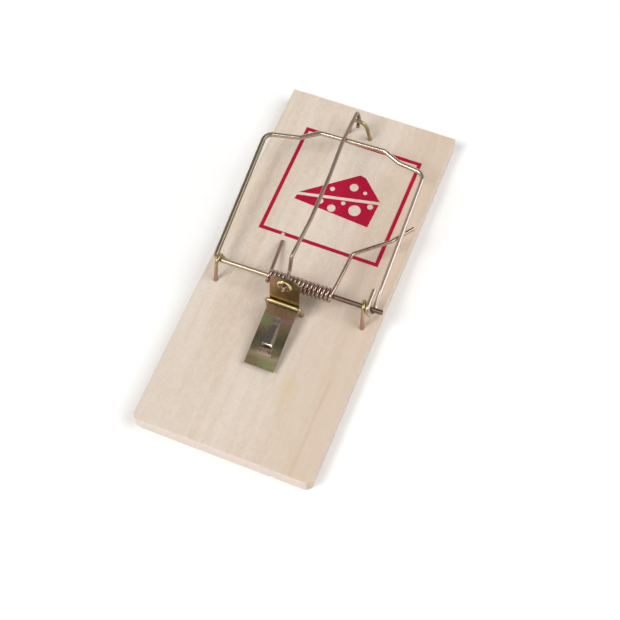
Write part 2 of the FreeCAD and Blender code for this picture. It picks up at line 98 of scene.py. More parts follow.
# brown streak in the wood, from its back end to its front end, and the yellow patch beside it
STREAK = [(17.52, -25.54), (17.33, -48.55)]
PATCH = (8.61, -30.21)

# the pedal's sheet: middle of its bend from the hinge, thickness, slopes of plate and tab, and
# the distances along the strip of the tab's top and of the catch hole
SHEET_MIDDLE = 0.735
SHEET_THICK = 0.4
SLOPE, LEAN = math.radians(10.5), math.radians(8.0)
BEND_ANGLE = math.pi / 2 - SLOPE - LEAN
BEND_LENGTH = SHEET_MIDDLE * BEND_ANGLE
TAB_TOP = BEND_LENGTH + 9.7
CATCH = BEND_LENGTH + 6.9
# half the strip's width, and the places along it of the plate's ends, its slot's ends and the
# line where the tab's patch begins
STRIP_HALF = 3.75
PLATE_BACK, PLATE_FRONT = -1.6, -16.1
SLOT_BACK, SLOT_FRONT = -3.6, -12.4
SLOT_NARROW, SLOT_WIDE = 0.85, 1.7
TAB_START = BEND_LENGTH + 1.6
TAB_CORNER = 2.2


# ---- shader arithmetic ----------------------------------------------------------------------


class Value:
    """A number socket used in ordinary arithmetic; each operator adds its Math node."""

    def __init__(self, paint, socket):
        self.paint, self.socket = paint, socket

    def maths(self, operation, *others, clamp=False):
        settings = {"operation": operation, "use_clamp": clamp}
        inputs = dict(enumerate((self,) + others))
        return self.paint.number("ShaderNodeMath", settings, inputs)

    def __add__(self, other):
        return self.maths("ADD", other)

    __radd__ = __add__

    def __mul__(self, other):
        return self.maths("MULTIPLY", other)

    __rmul__ = __mul__

    def __sub__(self, other):
        return self.maths("SUBTRACT", other)

    def __rsub__(self, other):
        return self * -1.0 + other

    def __truediv__(self, other):
        return self.maths("DIVIDE", other)

    def __pow__(self, other):
        return self.maths("POWER", other)

    def __abs__(self):
        return self.maths("ABSOLUTE")

    def least(self, other):
        return self.maths("MINIMUM", other)

    def most(self, other):
        return self.maths("MAXIMUM", other)

    def root(self):
        return self.maths("SQRT")

    def clamped(self):
        return self.maths("ADD", 0.0, clamp=True)

    def ramp(self, low, high, start=0.0, end=1.0):
        """Smooth step: start below low, end above high, an S-curve between."""
        return self.paint.number(
            "ShaderNodeMapRange", {"interpolation_type": "SMOOTHSTEP"},
            {0: self, 1: low, 2: high, 3: start, 4: end})

    def bump_at(self, centre, width):
        """Bell: 1 at the centre, falling to about a third at the width."""
        return (((self - centre) / width) ** 2 * -1.0).maths("EXPONENT")


class Paint:
    """A procedural material: nodes are added one at a time and returned as values."""

    def __init__(self, name):
        self.material = bpy.data.materials.new(name)
        self.material.use_nodes = True
        self.tree = self.material.node_tree
        self.tree.nodes.clear()

    def node(self, kind, settings=None, inputs=None):
        """Any node: its settings first, then the values or links of its sockets."""
        item = self.tree.nodes.new(kind)
        for key, value in (settings or {}).items():
            setattr(item, key, value)
        for key, value in (inputs or {}).items():
            value = value.socket if isinstance(value, Value) else value
            if isinstance(value, bpy.types.NodeSocket):
                self.tree.links.new(value, item.inputs[key])
            else:
                item.inputs[key].default_value = value
        return item

    def number(self, kind, settings=None, inputs=None, output=0):
        return Value(self, self.node(kind, settings, inputs).outputs[output])

    def place(self, scale=(1.0, 1.0, 1.0), shift=(0.0, 0.0, 0.0)):
        """The point on the piece in millimetres, stretched and shifted."""
        point = self.node("ShaderNodeTexCoord").outputs["Object"]
        return self.stretched(point, tuple(part / MM for part in scale), shift)

    def own(self, name, scale=(1.0, 1.0, 1.0), shift=(0.0, 0.0, 0.0)):
        """The piece's own measured coordinates, in millimetres, stretched and shifted."""
        point = self.node("ShaderNodeAttribute", {"attribute_name": name}).outputs["Vector"]
        return self.stretched(point, scale, shift)

    def stretched(self, point, factor, shift):
        inputs = {0: point, 1: factor, 2: shift}
        item = self.node("ShaderNodeVectorMath", {"operation": "MULTIPLY_ADD"}, inputs)
        return item.outputs["Vector"]

    def split(self, vector):
        item = self.node("ShaderNodeSeparateXYZ", None, {0: vector})
        return [Value(self, item.outputs[i]) for i in range(3)]

    def joined(self, *parts):
        return self.node("ShaderNodeCombineXYZ", None, dict(enumerate(parts))).outputs[0]

    def noise(self, vector, scale=1.0, detail=2.0, roughness=0.5):
        inputs = {"Vector": vector, "Scale": scale, "Detail": detail, "Roughness": roughness}
        return self.number("ShaderNodeTexNoise", {"noise_dimensions": "3D"}, inputs)

    def mix(self, share, first, second, blend="MIX"):
        item = self.node("ShaderNodeMix", {"data_type": "RGBA", "blend_type": blend},
                         {0: share, 6: first, 7: second})
        return item.outputs[2]

    def finish(self, bump=None, strength=0.3, distance=0.02, **sockets):
        """Close the material with a Principled shader; bump is a height in millimetres."""
        inputs = {key.replace("_", " "): value for key, value in sockets.items()}
        if bump is not None:
            inputs["Normal"] = self.node("ShaderNodeBump", None, {
                "Strength": strength, "Distance": distance * MM, "Height": bump}).outputs[0]
        shader = self.node("ShaderNodeBsdfPrincipled", None, inputs)
        self.node("ShaderNodeOutputMaterial", None, {0: shader.outputs[0]})
        return self.material


def srgb(red, green, blue):
    """Colour as painters' 0 to 255 numbers turned into light."""
    part = np.array([red, green, blue]) / 255.0
    light = np.where(part <= 0.04045, part / 12.92, ((part + 0.055) / 1.055) ** 2.4)
    return (*light.tolist(), 1.0)


# ---- materials ------------------------------------------------------------------------------


def half_plane(x, y, start, end):
    """Distance of a point to the right of the line from start to end; negative on the left."""
    dx, dy = end[0] - start[0], end[1] - start[1]
    length = math.hypot(dx, dy)
    return (x - start[0]) * (dy / length) - (y - start[1]) * (dx / length)


def convex(x, y, corners):
    """Signed distance to a convex outline given anticlockwise: the largest half-plane distance."""
    reach = None
    for start, end in zip(corners, corners[1:] + corners[:1]):
        side = half_plane(x, y, start, end)
        reach = side if reach is None else reach.most(side)
    return reach


def disc(x, y, centre, radius):
    """Signed distance to a disc: distance from its centre less the radius."""
    return ((x - centre[0]) ** 2 + (y - centre[1]) ** 2).root() - radius


def printed_ink(paint, x, y):
    """Signed distance to the print: a square frame and a wedge of cheese with round holes."""
    frame_x, frame_y, half_x, half_y, half_line = 1.1, 23.7, 15.4, 15.6, 0.5
    edge = (abs(x - frame_x) - half_x).most(abs(y - frame_y) - half_y)
    square = abs(edge) - half_line
    side = convex(x, y, [(-9.6, 18.6), (10.6, 17.2), (11.0, 24.3), (-9.4, 19.9)])
    top = convex(x, y, [(-9.3, 20.75), (11.0, 25.15), (5.2, 30.6), (3.6, 30.9)])
    for centre, radius in (((5.9, 20.6), 1.55), ((0.2, 19.2), 1.05), ((9.2, 23.0), 0.75),
                           ((-3.2, 20.2), 0.8), ((2.5, 21.6), 0.55)):
        side = side.most(disc(x, y, centre, radius) * -1.0)
    for centre, radius in (((3.4, 26.9), 1.1), ((-1.6, 24.6), 0.62), ((6.6, 26.3), 0.5)):
        top = top.most(disc(x, y, centre, radius) * -1.0)
    return square.least(side).least(top)


def board_wood():
    """Pale close-grained board: fibres along Y, end grain on the short faces, one-colour print."""
    paint = Paint("board_wood")
    x, y, z = paint.split(paint.place())
    wander = paint.noise(paint.place((0.05, 0.016, 0.3)), 1.0, 2.0) - 0.5
    across = x + wander * 5.0
    broad = paint.noise(paint.joined(across * 0.2, y * 0.02, z * 0.2), 1.0, 2.0)
    band = paint.noise(paint.joined(across * 1.0, y * 0.035, z * 0.4), 1.0, 3.0)
    fibre = paint.noise(paint.joined(across * 4.2, y * 0.13, z * 2.0), 1.0, 3.0, 0.6)
    fleck = paint.noise(paint.joined(x * 9.0, y * 0.9, z * 6.0), 1.0, 2.0, 0.6)
    mottle = paint.noise(paint.place((0.9, 0.55, 0.9)), 1.0, 3.0, 0.6)

    pale, tan = srgb(220, 208, 196), srgb(209, 192, 173)
    colour = paint.mix(broad.ramp(0.3, 0.72), pale, tan)
    colour = paint.mix(band.ramp(0.42, 0.7) * 0.32, colour, srgb(209, 183, 156))
    pink = paint.noise(paint.place((0.12, 0.06, 0.1), (7.0, 3.0, 0.0)), 1.0, 2.0)
    colour = paint.mix(pink.ramp(0.48, 0.7) * 0.3, colour, srgb(213, 192, 177))
    colour = paint.mix(fibre.ramp(0.46, 0.75) * 0.16, colour, srgb(182, 154, 128))
    colour = paint.mix(fleck.ramp(0.56, 0.78) * 0.22, colour, srgb(176, 148, 122))
    colour = paint.mix(mottle.ramp(0.42, 0.66) * 0.26, colour, srgb(230, 220, 206))
    pores = paint.noise(paint.place((2.6, 1.7, 2.6)), 1.0, 3.0, 0.7)
    colour = paint.mix(pores.ramp(0.5, 0.72) * 0.22, colour, srgb(180, 156, 130))
    colour = paint.mix(pores.ramp(0.5, 0.3) * 0.2, colour, srgb(236, 226, 212))
    # mineral streak near the front, slanting a little across the grain, and a yellow patch by it
    drift = wander * 1.6
    line = half_plane(x, y, STREAK[0], STREAK[1]) + drift
    streak = line.bump_at(0.0, 0.55) + line.bump_at(1.5, 0.35) * 0.4
    streak = streak * y.ramp(STREAK[0][1] + 4.0, STREAK[0][1] - 3.0)
    streak = streak * band.ramp(0.25, 0.6, 0.35, 1.0)
    colour = paint.mix((streak * 0.5).clamped(), colour, srgb(192, 146, 108))
    patch = disc(x, y * 0.45, (PATCH[0], PATCH[1] * 0.45), 0.0).ramp(0.4, 3.0, 0.45, 0.0)
    colour = paint.mix(patch, colour, srgb(212, 188, 140))
    # the front runs a little greyer and the right side a little browner
    colour = paint.mix(y.ramp(0.0, -32.0) * 0.24, colour, srgb(200, 187, 173))
    colour = paint.mix(x.ramp(2.0, 21.0) * 0.55, colour, srgb(204, 181, 159))

    # end grain: short rings seen from the end, paler
    ends = abs(y).ramp(49.72, 49.95)
    rings = paint.noise(paint.joined(x * 0.8, 0.0, z * 2.6), 1.0, 4.0, 0.65)
    grain_end = paint.mix(rings.ramp(0.35, 0.7), srgb(232, 220, 212), srgb(222, 204, 190))
    colour = paint.mix(ends, colour, grain_end)
    # plain sawn sides
    saw = paint.noise(paint.joined(y * 1.6, z * 0.5, x * 0.1), 1.0, 2.0, 0.6)
    sides = abs(x).ramp(22.25, 22.45)
    colour = paint.mix(sides * 0.6, colour,
                       paint.mix(saw.ramp(0.35, 0.7), srgb(216, 202, 193), srgb(202, 184, 170)))
    # painted contact shade on the wood round each staple leg
    leg_contact_shade = None
    for spot in sum(STAPLE_SPOTS.values(), []):
        ring = disc(x, y, spot, 0.0).ramp(0.45, 0.85, 1.0, 0.0)
        leg_contact_shade = ring if leg_contact_shade is None else leg_contact_shade.most(ring)
    colour = paint.mix(leg_contact_shade * 0.5 * z.ramp(4.6, 4.95), colour, srgb(120, 88, 66))

    # print, with one missed speck, thin where the fibres stand, and a faint smear on the left
    rough_edge = (paint.noise(paint.place((3.2, 2.2, 1.0)), 1.0, 3.0, 0.6) - 0.5) * 0.22
    ink = (printed_ink(paint, x, y) + rough_edge).ramp(0.05, -0.05)
    gap = disc(x, y, (-8.27, 7.95), 0.42).ramp(0.12, -0.12)
    starved = fibre.ramp(0.62, 0.8) * 0.2
    up = z.ramp(4.9, 4.98)
    cover = (ink * (1.0 - gap) * (1.0 - starved) * up).clamped()
    crimson = paint.mix(mottle.ramp(0.3, 0.7), srgb(176, 6, 54), srgb(164, 6, 48))
    colour = paint.mix(cover, colour, crimson)
    smear = paint.noise(paint.place((1.6, 0.5, 1.0), (3.0, 9.0, 0.0)), 1.0, 3.0, 0.7)
    smear = smear.ramp(0.52, 0.7) * x.bump_at(-18.85, 0.35) * y.bump_at(30.6, 3.2) * up
    colour = paint.mix((smear * 0.5).clamped(), colour, srgb(190, 110, 118))

    relief = fibre * 0.6 + fleck * 0.3 + mottle * 0.3 + ends * rings * 1.2 + saw * sides
    rough = 0.62 + fleck * 0.16 - cover * 0.12
    return paint.finish(bump=relief, strength=0.35, distance=0.05, Base_Color=colour,
                        Roughness=rough, Specular_IOR_Level=0.2)


def plated_wire(name, body_colour, warm, cool, roughness, stains_and_painted_shade=()):
    """Drawn and plated wire: tint that drifts along it, fine draw lines, dull spots, and tinted
    lengths, real stains or painted shade, each given as its start, its end, its shade and
    how strong it is."""
    paint = Paint(name)
    slow = paint.noise(paint.own("wire", (0.16, 0.8, 0.8)), 1.0, 2.0)
    turn = paint.noise(paint.own("wire", (0.07, 0.5, 0.5), (9.0, 4.0, 2.0)), 1.0, 2.0)
    lines = paint.noise(paint.own("wire", (0.35, 9.0, 9.0)), 1.0, 3.0, 0.6)
    spots = paint.noise(paint.own("wire", (1.9, 2.6, 2.6), (1.0, 5.0, 7.0)), 1.0, 3.0, 0.65)
    colour = paint.mix(slow.ramp(0.4, 0.62) * 0.8, body_colour, warm)
    colour = paint.mix(turn.ramp(0.45, 0.65) * 0.8, colour, cool)
    colour = paint.mix(lines.ramp(0.5, 0.8) * 0.16, colour, srgb(130, 112, 92))
    colour = paint.mix(spots.ramp(0.6, 0.75) * 0.26, colour, srgb(116, 96, 78))
    rough = roughness + (spots - 0.5) * 0.12 + (lines - 0.5) * 0.08
    distance = paint.split(paint.own("wire"))[0]
    for first, last, shade, strength in stains_and_painted_shade:
        zone = distance.ramp(first - 1.5, first + 1.5) * distance.ramp(last + 1.5, last - 1.5)
        colour = paint.mix(zone * strength, colour, shade)
        rough = rough + zone * strength * 0.14
    relief = lines * 0.7 + spots * 0.4
    return paint.finish(bump=relief, strength=0.06, distance=0.02, Base_Color=colour,
                        Metallic=1.0, Roughness=rough)


def pedal_sheet():
    """Yellow-passivated sheet: oil-like colour bands that follow the strip, painted shade and
    highlights, darkened cut edges.
    """
    paint = Paint("pedal_sheet")
    across, along, _ = paint.split(paint.own("strip"))
    drift = paint.noise(paint.own("strip", (0.24, 0.3, 0.3)), 1.0, 2.0) - 0.5
    fine = paint.noise(paint.own("strip", (4.5, 0.9, 2.0)), 1.0, 3.0, 0.6)
    spots = paint.noise(paint.own("strip", (2.4, 2.4, 2.0), (3.0, 1.0, 0.0)), 1.0, 3.0, 0.65)
    olive, brown = srgb(156, 142, 104), srgb(150, 126, 94)
    colour = paint.mix((drift + 0.5).ramp(0.35, 0.65), olive, brown)
    shift = drift * 3.0

    def tint(share, red, green, blue):
        nonlocal colour
        colour = paint.mix(share.clamped(), colour, srgb(red, green, blue))

    # catch tab: faint orange bands low on the left, pink high on the left, olive on the right
    tint(((along + shift).bump_at(3.0, 0.5) + (along + shift).bump_at(4.3, 0.35))
         * across.ramp(1.5, -2.5) * 0.4, 200, 146, 96)
    tint((along + shift * 0.5).bump_at(8.2, 1.9) * across.bump_at(-3.0, 1.2) * 0.7, 204, 146, 132)
    tint(along.ramp(2.0, 5.0) * (across + shift * 0.3).ramp(-1.0, 3.4) * 0.5, 120, 102, 72)
    # bait plate: orange and pink by the hinge, green down the left, a painted dark reflection over
    # the grey-green middle, green front
    plate = along.ramp(-0.4, -1.0)
    tint(plate * (along + shift).bump_at(-1.9, 0.8) * 0.55, 196, 146, 106)
    pinkish = 0.3 + across.ramp(-2.0, 3.0) * 0.4
    tint(plate * (along + shift).bump_at(-3.6, 1.0) * pinkish, 192, 142, 138)
    tint(plate * (along + shift).bump_at(-4.6, 1.7) * across.ramp(-0.6, -3.0) * 0.8, 142, 160, 108)
    # painted dark reflection over the middle of the plate
    tint(plate * (along + shift).bump_at(-9.4, 3.2) * 0.85, 76, 76, 64)
    tint(plate * (along + shift).bump_at(-8.0, 1.6) * across.bump_at(-0.9, 1.1) * 0.25,
         112, 88, 112)
    ahead = along + shift * 0.5
    tint(plate * ahead.bump_at(-15.0, 1.2) * across.ramp(-2.8, 1.2) * 0.6, 146, 166, 114)
    tint(plate * ahead.bump_at(-13.2, 0.8) * 0.55, 190, 176, 146)
    # painted shade in the groove under the rolled hinge
    tint((along + 0.45).bump_at(0.0, 0.32) * 0.85, 56, 56, 34)
    # tongue inside the slot: grey, painted shade at its root, painted highlights along its right side
    # and its lip
    slot = (abs(across) + along * 0.097 - 0.5).ramp(0.0, -0.1)
    slot = slot * along.ramp(-3.2, -3.55) * along.ramp(-12.95, -12.6)
    tint(slot * 0.8, 160, 150, 140)
    root = slot * along.ramp(-5.4, -4.4)
    tint(root * 0.9, 74, 62, 56)
    tint(slot * (across + along * 0.04).ramp(0.2, 0.55) * along.ramp(-4.6, -6.5), 232, 218, 186)
    tint(slot * along.ramp(-10.5, -10.9) * 0.6, 226, 210, 176)
    prong = slot * along.ramp(-11.15, -11.3)
    tint(prong * 0.95, 132, 98, 88)
    tint(fine.ramp(0.55, 0.8) * 0.2, 172, 158, 122)
    tint(spots.ramp(0.6, 0.8) * 0.14, 96, 80, 58)
    # torn rim of the catch hole: a painted highlight ring, painted shade on the curled lip within;
    # the sheared edges are darkened
    hole = disc(across, along, (0.0, CATCH), 1.62)
    tint(hole.ramp(-0.12, -0.25) * (0.5 + fine.ramp(0.6, 0.4) * 0.5), 112, 84, 54)
    tint(abs(hole).ramp(0.24, 0.1) * 0.9, 240, 222, 168)
    sheared = abs(across).ramp(STRIP_HALF - 0.07, STRIP_HALF - 0.01)
    sheared = sheared.most(along.ramp(PLATE_FRONT + 0.08, PLATE_FRONT + 0.02))
    sheared = sheared * along.ramp(1.0, -2.0)
    tint(sheared * 0.85, 92, 76, 54)
    dull = sheared.most(root).most(prong * 0.8)
    rough = 0.29 + (fine - 0.5) * 0.08 + (spots - 0.5) * 0.12 + dull * 0.3
    relief = fine * 0.1 + spots * 0.3
    return paint.finish(bump=relief, strength=0.035, distance=0.03, Base_Color=colour,
                        Metallic=1.0 - dull * 0.9, Roughness=rough)


def studio_floor():
    """Plain white sweep with a barely visible paper tooth, thinning out into the white far off."""
    paint = Paint("studio_floor")
    x, y, _ = paint.split(paint.place())
    solid = disc(x, y, (0.0, 0.0), 0.0).ramp(320.0, 620.0, 1.0, 0.0)
    tooth = paint.noise(paint.place((0.8, 0.8, 0.8)), 1.0, 2.0)
    colour = paint.mix(tooth, (0.94, 0.94, 0.94, 1.0), (0.96, 0.96, 0.96, 1.0))
    return paint.finish(Base_Color=colour, Roughness=0.9, Alpha=solid, Specular_IOR_Level=0.1)


# ---- mesh tools -----------------------------------------------------------------------------


def unit(vector):
    return vector / np.linalg.norm(vector, axis=-1, keepdims=True)


def bent_line(corners, step=0.9, arc_step=0.14):
    """Points on straight runs joined by arcs. Each corner is (x, y, z, bend radius); its arc
    starts radius / tan(half the angle between the runs) before the corner and turns about a
    centre radius / sin(half) along the bisector."""
    corners = [np.array(c, float) for c in corners]
    rows, start = [], corners[0][:3]

    def run(a, b):
        count = max(1, int(round(np.linalg.norm(b - a) / step)))
        if np.linalg.norm(b - a) > 1e-6:
            rows.append(a + np.linspace(0, 1, count, endpoint=False)[:, None] * (b - a))

    for before, corner, after in zip(corners, corners[1:], corners[2:]):
        middle, radius = corner[:3], corner[3]
        back, ahead = unit(before[:3] - middle), unit(after[:3] - middle)
        half = math.acos(float(np.clip(back @ ahead, -1, 1))) / 2
        first = middle + back * radius / math.tan(half)
        last = middle + ahead * radius / math.tan(half)
        centre = middle + unit(back + ahead) * radius / math.sin(half)
        turn = math.pi - 2 * half
        run(start, first)
        count = max(4, int(round(radius * turn / arc_step)))
        angle = np.linspace(0, turn, count, endpoint=False)[:, None]
        rows.append(centre + (first - centre) * np.cos(angle) - back * radius * np.sin(angle))
        start = last
    run(start, corners[-1][:3])
    rows.append(corners[-1][None, :3])
    return np.concatenate(rows)


def carried_frames(tangents):
    """Sideways directions along a path, each the last one swung by the turn of the tangent."""
    side = np.cross(tangents[0], (0.31, 0.17, 0.93))
    sides = []
    for tangent in tangents:
        side = unit(side - tangent * (side @ tangent))
        sides.append(side)
    sides = np.array(sides)
    return sides, np.cross(tangents, sides)


def new_piece(name, vertices, faces, body, finish, angle=35.0):
    """A mesh object at the origin, its place in its vertices, given in millimetres."""
    mesh = bpy.data.meshes.new(name)
    mesh.from_pydata((np.asarray(vertices) * MM).tolist(), [], [list(f) for f in faces])
    mesh.validate()
    mesh.shade_smooth()
    mesh.set_sharp_from_angle(angle=math.radians(angle))
    piece = bpy.data.objects.new(name, mesh)
    bpy.context.scene.collection.objects.link(piece)
    piece.data.materials.append(finish)
    if body:
        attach(piece, body)
    return piece


def own_coordinates(piece, name, values):
    attribute = piece.data.attributes.new(name, "FLOAT_VECTOR", "POINT")
    attribute.data.foreach_set("vector", np.asarray(values, np.float32).ravel())


def grid_faces(rows, columns, closed, first=0):
    """Quads between neighbouring rows of a grid, each row closed on itself or open."""
    here = np.arange(columns if closed else columns - 1)
    beside = (here + 1) % columns
    row = np.arange(rows - 1)[:, None] * columns
    quads = np.stack([row + here, row + beside, row + columns + beside, row + columns + here],
                     axis=-1)
    return quads.reshape(-1, 4) + first


def capped_tube_faces(rows, columns):
    """Quads between the closed rows of a tube and a fan of triangles over each end, to two middle
    points that come after the grid."""
    here = np.arange(columns)
    beside = (here + 1) % columns
    last_row, middles = (rows - 1) * columns, rows * columns
    start_fan = np.stack([beside, here, np.full(columns, middles)], axis=-1)
    end_fan = np.stack([last_row + here, last_row + beside, np.full(columns, middles + 1)], axis=-1)
    return grid_faces(rows, columns, True).tolist() + start_fan.tolist() + end_fan.tolist()


def wire_piece(name, path, diameter, body, finish, sections=20, slant=(0.10, 0.10)):
    """Round wire along a path. Ring i is the path point plus radius times cos and sin of the
    angle round it, along two directions square to the path. Each end is a sheared cut: the last
    ring is a little smaller, set back more on one side, and closed to a point in its middle."""
    radius = diameter / 2
    ease, free_end, cut_in = 0.07, 0.3, 0.09
    keep = np.r_[True, np.linalg.norm(np.diff(path, axis=0), axis=1) > 1e-4]
    path = path[keep]
    tangents = unit(np.gradient(path, axis=0))
    sides, ups = carried_frames(tangents)
    length = np.r_[0, np.cumsum(np.linalg.norm(np.diff(path, axis=0), axis=1))]
    # ring stations: the ends get one ring at the very end and one where the wire is full
    inner = length[(length > free_end) & (length < length[-1] - free_end)]
    stations = np.r_[0.0, ease, inner, length[-1] - ease, length[-1]]

    def along(values):
        return np.stack([np.interp(stations, length, values[:, k]) for k in range(3)], axis=-1)

    centre, ahead = along(path), unit(along(tangents))
    out, up = unit(along(sides)), unit(along(ups))
    size = np.full(len(stations), radius)
    size[[0, -1]] = radius - cut_in
    angle = np.linspace(0, 2 * math.pi, sections, endpoint=False)
    ring = out[:, None] * np.cos(angle)[None, :, None] + up[:, None] * np.sin(angle)[None, :, None]
    points = centre[:, None] + ring * size[:, None, None]
    back_off = (1 + np.cos(angle)) / 2
    for rows, sign, amount in (((0, 1), 1, slant[0]), ((-1, -2), -1, slant[1])):
        for row in rows:
            points[row] += sign * ahead[row] * (back_off * amount)[:, None]
    count = len(stations)
    vertices = np.concatenate([points.reshape(-1, 3), [centre[0] + ahead[0] * slant[0] / 2],
                               [centre[-1] - ahead[-1] * slant[1] / 2]])
    faces = capped_tube_faces(count, sections)
    piece = new_piece(name, vertices, faces, body, finish)
    own = np.stack([np.repeat(stations, sections), np.tile(np.cos(angle), count) * radius,
                    np.tile(np.sin(angle), count) * radius], axis=-1)
    own_coordinates(piece, "wire", np.concatenate([own, [[0, 0, 0]], [[stations[-1], 0, 0]]]))
    return piece


def turned(points, lift):
    """Points given on the axle turned up by lift about it, then by its small yaw, and moved there."""
    x, y, z = np.asarray(points, float).T
    y, z = y * math.cos(lift) - z * math.sin(lift), y * math.sin(lift) + z * math.cos(lift)
    cosine, sine = math.cos(AXLE_YAW), math.sin(AXLE_YAW)
    return np.stack([x * cosine - y * sine, x * sine + y * cosine, z], axis=-1) + AXLE


# ---- pieces ---------------------------------------------------------------------------------


def make_bail(finish):
    """Axle, left arm, stepped crossbar, right arm, hook round the axle, and its free stub. reach is
    the hook's radius, arm the right arm's x there, shift how far the hook winds to the left."""
    reach, arm, shift, stub_length = 1.28, 21.0, 1.3, 4.5
    line = bent_line([
        (23.4, 0, 0, 0), (-19.8, 0, 0, 1.0), (-20.65, 35.8, 0, 2.3), (-12.0, 37.5, 0, 1.8),
        (-7.6, 40.35, 0, 1.8), (9.3, 40.7, 0, 1.8), (13.8, 38.7, 0, 1.8), (20.7, 37.85, 0, 2.3),
        (arm, 4 * reach, 0, 3 * reach), (arm, reach, -reach, reach), (arm, 0, -reach, 0)])
    # the hook: half a turn round the axle in the plane through under, front and over
    angle = np.linspace(0, math.pi, 26)[1:, None]
    under, front = np.array([shift / 2, 0, -reach]), np.array([0, -math.hypot(shift / 2, reach), 0])
    hook = np.array([arm - shift / 2, 0, 0]) + under * np.cos(angle) + front * np.sin(angle)
    stub = np.linspace(0.08, 1, 12)[:, None] * (0, stub_length, 0)
    stub = np.array([arm - shift, 0, reach]) + stub
    path = turned(np.concatenate([line, hook, stub]), BAIL_LIFT)
    piece = wire_piece("bail_bent_wire", path, BAIL_WIRE, "bail", finish,
                       24, (0.12, 0.16))
    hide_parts("bail")


def make_spring(finish):
    """Left-handed coil: x grows by the pitch each turn, y is -radius sin t, z is -radius cos t.
    One leg rests on the board, the other lies under the right arm; the spring is not attached to the
    bail."""
    radius, pitch, turns, start, turn_points, leg_step = 1.375, 1.05, 15.5, -5.8, 30, 0.6
    creep = pitch / (2 * math.pi * radius)
    t = np.linspace(0, 2 * math.pi * turns, int(turns * turn_points))
    coil = np.stack([start + pitch * t / (2 * math.pi), -radius * np.sin(t), -radius * np.cos(t)],
                    axis=-1)
    end = start + pitch * turns
    leg = bent_line([(-7.3, 12.3, -4.5, 0), (start - 1.5 * creep, 1.5, -radius, 4.0),
                     (start, 0, -radius, 0)], leg_step)
    arm = bent_line([(end, 0, radius, 0), (end + 1.5 * creep, 1.5, radius, 6.0),
                     (11.3, 11.9, 0.95, 1.6), (18.95, 18.4, 0.85, 2.5),
                     (22.95, 23.75, 0.95, 0)], leg_step)
    path = turned(np.concatenate([leg[:-1], coil, arm[1:]]), 0.0)
    piece = wire_piece("torsion_spring_wound_wire", path, THIN_WIRE, None, finish,
                       16, (0.12, 0.12))
    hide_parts("torsion_spring")
    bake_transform(piece)


def make_locking_bar(finish):
    """Bowed bar with a stepped tip at one end and a bent eye at the other."""
    corners = np.array([
        (0.45, -52.1, 5.55, 0), (0.15, -48.7, 5.25, 0.9), (0.0, -46.7, 9.15, 1.2),
        (0.25, -36.0, 8.45, 40.0), (-0.4, -22.0, 7.0, 30.0), (-1.8, -9.5, 4.3, 20.0),
        (-2.3, 2.0, 1.15, 1.0), (-1.6, 1.6, -1.25, 0.9), (-1.2, -0.75, -1.45, 0)])
    path = bent_line(corners) + BAR_HINGE
    piece = wire_piece("locking_bar_bent_wire", path, THIN_WIRE, "locking_bar", finish,
                       20, (0.06, 0.1))
    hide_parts("locking_bar")


def leaning_legs(spots, top, bend):
    """Two straight legs that meet the wood at the two spots and lean together under a tight crown.
    The lines of the legs cross above the crown at the height where top is reached by the bend:
    height = top - board + bend / sin(lean) - bend, found by repeating it."""
    middle, half = spots.mean(axis=0), np.linalg.norm(spots[0] - spots[1]) / 2
    height = top - BOARD_TOP
    for _ in range(40):
        lean = math.atan2(half, height)
        height = top - BOARD_TOP + bend / math.sin(lean) - bend
    feet = middle + (spots - middle) * (1 + (BOARD_TOP - LEG_FOOT) / height)
    return bent_line([(*feet[0], LEG_FOOT, 0), (*middle, BOARD_TOP + height, bend),
                      (*feet[1], LEG_FOOT, 0)])


def make_staples(finish):
    """Four bent wires driven into the board; their legs end inside the wood."""
    paths = {}
    for name, (top, bend) in ARCHES.items():
        paths[name] = leaning_legs(np.array(STAPLE_SPOTS[name]), top, bend)
    x, y, z = PEDAL_HINGE
    corners = np.array([(x - PEDAL_STAPLE_HALF, y), (x + PEDAL_STAPLE_HALF, y)])
    deeper = (z - LEG_FOOT) / (z - BOARD_TOP)
    feet = corners + (np.array(STAPLE_SPOTS["pedal_staple"]) - corners) * deeper
    paths["pedal_staple"] = bent_line([
        (*feet[0], LEG_FOOT, 0), (*corners[0], z, PEDAL_STAPLE_BEND),
        (*corners[1], z, PEDAL_STAPLE_BEND), (*feet[1], LEG_FOOT, 0)])
    for name, path in paths.items():
        piece = wire_piece(f"{name}_wire", path, THIN_WIRE, "base", finish)
        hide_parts(name)


